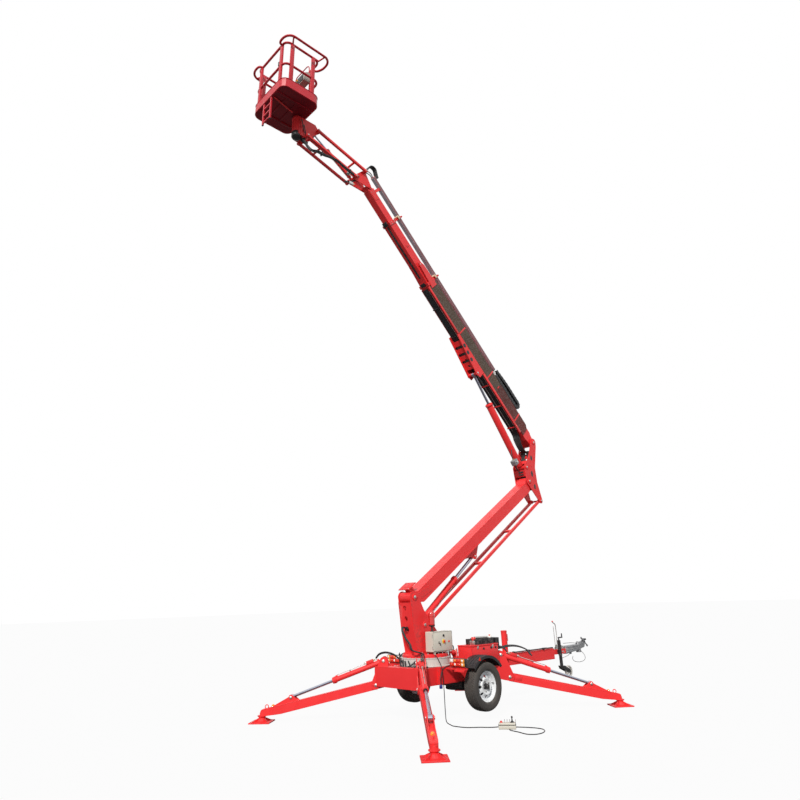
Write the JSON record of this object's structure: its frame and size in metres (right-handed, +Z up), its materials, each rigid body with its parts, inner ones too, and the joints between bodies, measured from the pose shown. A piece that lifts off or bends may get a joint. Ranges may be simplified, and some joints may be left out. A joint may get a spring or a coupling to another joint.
{
  "type": "towable articulated boom lift",
  "caption": "Trailer-mounted articulated boom lift with two stacked booms, a telescopic upper boom, a jib and a platform, standing on four fold-down outriggers.",
  "frame": {"origin": "centre of the bounding box on the floor, measured without the loose pendant cable", "axes": "+Z up, +X towards the towing coupling, +Y to the machine's left"},
  "size_m": [8.145, 4.1502, 11.25],
  "materials": {
    "beacon_lens": "gloss",
    "black_paint": "satin",
    "black_plastic": "matt",
    "bright_steel": "satin",
    "cable_rubber": "matt",
    "cable_tube_metal": "satin",
    "cast_coupling": "satin",
    "chromed_rod": "polished",
    "grey_box": "satin",
    "grey_paint": "satin",
    "lamp_lens": "gloss",
    "red_paint": "gloss",
    "rim_paint": "satin",
    "tyre_rubber": "matt"
  },
  "bodies": {
    "chassis": {"chassis_frame": "red_paint", "axle": "black_paint", "mudguard_left": "black_plastic", "mudguard_right": "black_plastic", "lamp_left": "lamp_lens", "lamp_right": "lamp_lens", "drawbar": "red_paint", "coupling": "cast_coupling", "handbrake_lever": "black_plastic", "jockey_stem": "bright_steel", "boom_rest": "red_paint", "pedestal": "grey_paint", "compartment": "red_paint", "power_unit": "black_paint", "under_housing": "black_paint", "pendant": "grey_box", "pendant_cable": "cable_rubber"},
    "wheel_left": {"tyre_left": "tyre_rubber", "rim_left": "rim_paint"},
    "wheel_right": {"tyre_right": "tyre_rubber", "rim_right": "rim_paint"},
    "jockey_wheel": {"jockey_wheel": "cable_rubber"},
    "turntable": {"turntable": "red_paint", "mast": "red_paint", "control_box": "grey_box", "beacon": "beacon_lens"},
    "lower_boom": {"lower_boom": "red_paint"},
    "levelling_rods": {"levelling_rods": "red_paint"},
    "lower_lift_barrel": {"lower_lift_barrel": "red_paint"},
    "lower_lift_rod": {"lower_lift_rod": "chromed_rod"},
    "knuckle": {"knuckle": "red_paint"},
    "upper_boom": {"upper_boom": "red_paint", "boom_hoses": "cable_rubber", "energy_chain": "black_plastic"},
    "upper_lift_barrel": {"upper_lift_barrel": "red_paint"},
    "upper_lift_rod": {"upper_lift_rod": "chromed_rod"},
    "mid_section": {"mid_section": "red_paint"},
    "fly_section": {"fly_section": "red_paint", "cable_tube": "cable_tube_metal"},
    "jib_bracket": {"jib_bracket": "red_paint"},
    "jib_upper_arm": {"jib_upper_arm": "red_paint"},
    "jib_lower_arm": {"jib_lower_arm": "red_paint"},
    "jib_barrel": {"jib_barrel": "red_paint"},
    "jib_rod": {"jib_rod": "chromed_rod"},
    "jib_head": {"jib_head": "red_paint"},
    "platform": {"platform": "red_paint", "platform_controls": "grey_box"},
    "leg_rear_left": {"leg_rear_left": "red_paint"},
    "leg_barrel_rear_left": {"outrigger_rear_left_barrel": "red_paint"},
    "leg_rod_rear_left": {"outrigger_rear_left_rod": "chromed_rod"},
    "leg_rear_right": {"leg_rear_right": "red_paint"},
    "leg_barrel_rear_right": {"outrigger_rear_right_barrel": "red_paint"},
    "leg_rod_rear_right": {"outrigger_rear_right_rod": "chromed_rod"},
    "leg_front_left": {"leg_front_left": "red_paint"},
    "leg_barrel_front_left": {"outrigger_front_left_barrel": "red_paint"},
    "leg_rod_front_left": {"outrigger_front_left_rod": "chromed_rod"},
    "leg_front_right": {"leg_front_right": "red_paint"},
    "leg_barrel_front_right": {"outrigger_front_right_barrel": "red_paint"},
    "leg_rod_front_right": {"outrigger_front_right_rod": "chromed_rod"}
  },
  "joints": [
    {"name": "wheel_left_spin", "type": "hinge", "parent": "chassis", "child": "wheel_left", "pos_m": [-0.11749, 0.755, 0.435], "axis": [0, 1, 0], "continuous": true},
    {"name": "wheel_right_spin", "type": "hinge", "parent": "chassis", "child": "wheel_right", "pos_m": [-0.11749, -0.755, 0.435], "axis": [0, 1, 0], "continuous": true},
    {"name": "jockey_wheel_spin", "type": "hinge", "parent": "chassis", "child": "jockey_wheel", "pos_m": [3.19251, -0.08, 0.32], "axis": [0, 1, 0], "continuous": true},
    {"name": "leg_rear_left_fold", "type": "hinge", "parent": "chassis", "child": "leg_rear_left", "pos_m": [-1.14749, 0.5, 0.475], "axis": [-0.7581, -0.6521, 0], "range_deg": [-95, 0]},
    {"name": "leg_barrel_rear_left_swing", "type": "hinge", "parent": "chassis", "child": "leg_barrel_rear_left", "pos_m": [-1.06924, 0.40902, 0.795], "axis": [-0.7581, -0.6521, 0], "range_deg": [-101.23, 3]},
    {"name": "leg_rod_rear_left_slide", "type": "slide", "parent": "leg_barrel_rear_left", "child": "leg_rod_rear_left", "axis": [-0.6209, 0.7219, -0.3054], "range_m": [-0.516, 0.01]},
    {"name": "leg_rear_right_fold", "type": "hinge", "parent": "chassis", "child": "leg_rear_right", "pos_m": [-1.14749, -0.5, 0.475], "axis": [0.7581, -0.6521, 0], "range_deg": [-95, 0]},
    {"name": "leg_barrel_rear_right_swing", "type": "hinge", "parent": "chassis", "child": "leg_barrel_rear_right", "pos_m": [-1.06924, -0.40902, 0.795], "axis": [0.7581, -0.6521, 0], "range_deg": [-101.23, 3]},
    {"name": "leg_rod_rear_right_slide", "type": "slide", "parent": "leg_barrel_rear_right", "child": "leg_rod_rear_right", "axis": [-0.6209, -0.7219, -0.3054], "range_m": [-0.516, 0.01]},
    {"name": "leg_front_left_fold", "type": "hinge", "parent": "chassis", "child": "leg_front_left", "pos_m": [0.72251, 0.59, 0.475], "axis": [-0.617, 0.7869, 0], "range_deg": [-95, 0]},
    {"name": "leg_barrel_front_left_swing", "type": "hinge", "parent": "chassis", "child": "leg_barrel_front_left", "pos_m": [0.62808, 0.51596, 0.795], "axis": [-0.617, 0.7869, 0], "range_deg": [-101.23, 3]},
    {"name": "leg_rod_front_left_slide", "type": "slide", "parent": "leg_barrel_front_left", "child": "leg_rod_front_left", "axis": [0.7493, 0.5876, -0.3054], "range_m": [-0.516, 0.01]},
    {"name": "leg_front_right_fold", "type": "hinge", "parent": "chassis", "child": "leg_front_right", "pos_m": [0.72251, -0.59, 0.475], "axis": [0.617, 0.7869, 0], "range_deg": [-95, 0]},
    {"name": "leg_barrel_front_right_swing", "type": "hinge", "parent": "chassis", "child": "leg_barrel_front_right", "pos_m": [0.62808, -0.51596, 0.795], "axis": [0.617, 0.7869, 0], "range_deg": [-101.23, 3]},
    {"name": "leg_rod_front_right_slide", "type": "slide", "parent": "leg_barrel_front_right", "child": "leg_rod_front_right", "axis": [0.7493, -0.5876, -0.3054], "range_m": [-0.516, 0.01]},
    {"name": "slew", "type": "hinge", "parent": "chassis", "child": "turntable", "pos_m": [-0.56749, 0, 0], "axis": [0, 0, 1], "range_deg": [-179.5, 179.5]},
    {"name": "lower_boom_lift", "type": "hinge", "parent": "turntable", "child": "lower_boom", "pos_m": [-0.90249, 0, 1.685], "axis": [0, -1, 0], "range_deg": [-36, 30]},
    {"name": "levelling_rods_swing", "type": "hinge", "parent": "turntable", "child": "levelling_rods", "pos_m": [-0.56749, 0, 1.315], "axis": [0, -1, 0], "range_deg": [-44, 31]},
    {"name": "lower_lift_barrel_swing", "type": "hinge", "parent": "turntable", "child": "lower_lift_barrel", "pos_m": [-0.69349, 0, 1.285], "axis": [0, -1, 0], "range_deg": [-45, 32]},
    {"name": "lower_lift_rod_slide", "type": "slide", "parent": "lower_lift_barrel", "child": "lower_lift_rod", "axis": [0.803, 0, 0.596], "range_m": [-0.283, 0.237]},
    {"name": "knuckle_level", "type": "hinge", "parent": "lower_boom", "child": "knuckle", "pos_m": [2.50767, 0, 3.83249], "axis": [0, -1, 0], "range_deg": [-31, 44]},
    {"name": "upper_boom_lift", "type": "hinge", "parent": "knuckle", "child": "upper_boom", "pos_m": [2.80767, 0, 4.68749], "axis": [0, 1, 0], "range_deg": [-41, 24]},
    {"name": "upper_lift_barrel_swing", "type": "hinge", "parent": "knuckle", "child": "upper_lift_barrel", "pos_m": [2.46267, 0, 4.11749], "axis": [0, 1, 0], "range_deg": [-42, 26]},
    {"name": "upper_lift_rod_slide", "type": "slide", "parent": "upper_lift_barrel", "child": "upper_lift_rod", "axis": [-0.5854, 0, 0.8107], "range_m": [-0.466, 0.277]},
    {"name": "mid_extend", "type": "slide", "parent": "upper_boom", "child": "mid_section", "axis": [-0.7046, 0, 0.7096], "range_m": [-1.3, 0.55]},
    {"name": "fly_extend", "type": "slide", "parent": "mid_section", "child": "fly_section", "axis": [-0.7046, 0, 0.7096], "range_m": [-0.64, 0.9]},
    {"name": "jib_bracket_level", "type": "hinge", "parent": "fly_section", "child": "jib_bracket", "pos_m": [-1.73027, 0, 9.22884], "axis": [0, 1, 0], "range_deg": [-25, 42]},
    {"name": "jib_lift", "type": "hinge", "parent": "jib_bracket", "child": "jib_upper_arm", "pos_m": [-1.86755, 0, 9.50474], "axis": [0, 1, 0], "range_deg": [-36, 49]},
    {"name": "jib_lower_arm_swing", "type": "hinge", "parent": "jib_bracket", "child": "jib_lower_arm", "pos_m": [-2.10755, 0, 9.25474], "axis": [0, 1, 0], "range_deg": [-37, 50]},
    {"name": "jib_barrel_swing", "type": "hinge", "parent": "jib_bracket", "child": "jib_barrel", "pos_m": [-2.10755, 0, 9.25474], "axis": [0, 1, 0], "range_deg": [-40, 54]},
    {"name": "jib_rod_slide", "type": "slide", "parent": "jib_barrel", "child": "jib_rod", "axis": [-0.8445, 0, 0.5356], "range_m": [-0.202, 0.271]},
    {"name": "jib_head_level", "type": "hinge", "parent": "jib_upper_arm", "child": "jib_head", "pos_m": [-3.02491, 0, 9.83661], "axis": [0, 1, 0], "range_deg": [-50, 37]},
    {"name": "platform_swing", "type": "hinge", "parent": "jib_head", "child": "platform", "pos_m": [-3.41751, 0, 10.03001], "axis": [0, 0, 1], "range_deg": [-75, 75]}
  ],
  "couplings": [
    {"joint": "leg_barrel_rear_left_swing", "follows": "leg_rear_left_fold", "ratio": 1.034},
    {"joint": "leg_rod_rear_left_slide", "follows": "leg_rear_left_fold", "m_per_rad": 0.305},
    {"joint": "leg_barrel_rear_right_swing", "follows": "leg_rear_right_fold", "ratio": 1.034},
    {"joint": "leg_rod_rear_right_slide", "follows": "leg_rear_right_fold", "m_per_rad": 0.305},
    {"joint": "leg_barrel_front_left_swing", "follows": "leg_front_left_fold", "ratio": 1.034},
    {"joint": "leg_rod_front_left_slide", "follows": "leg_front_left_fold", "m_per_rad": 0.305},
    {"joint": "leg_barrel_front_right_swing", "follows": "leg_front_right_fold", "ratio": 1.034},
    {"joint": "leg_rod_front_right_slide", "follows": "leg_front_right_fold", "m_per_rad": 0.305},
    {"joint": "levelling_rods_swing", "follows": "lower_boom_lift", "ratio": 1},
    {"joint": "lower_lift_barrel_swing", "follows": "lower_boom_lift", "ratio": 0.97342},
    {"joint": "lower_lift_rod_slide", "follows": "lower_boom_lift", "m_per_rad": 0.4341},
    {"joint": "knuckle_level", "follows": "lower_boom_lift", "ratio": -1},
    {"joint": "upper_lift_barrel_swing", "follows": "upper_boom_lift", "ratio": 0.91843},
    {"joint": "upper_lift_rod_slide", "follows": "upper_boom_lift", "m_per_rad": 0.63701},
    {"joint": "jib_bracket_level", "follows": "upper_boom_lift", "ratio": -1},
    {"joint": "jib_lower_arm_swing", "follows": "jib_lift", "ratio": 1},
    {"joint": "jib_barrel_swing", "follows": "jib_lift", "ratio": 1.0224},
    {"joint": "jib_rod_slide", "follows": "jib_lift", "m_per_rad": 0.3049},
    {"joint": "jib_head_level", "follows": "jib_lift", "ratio": -1}
  ]
}
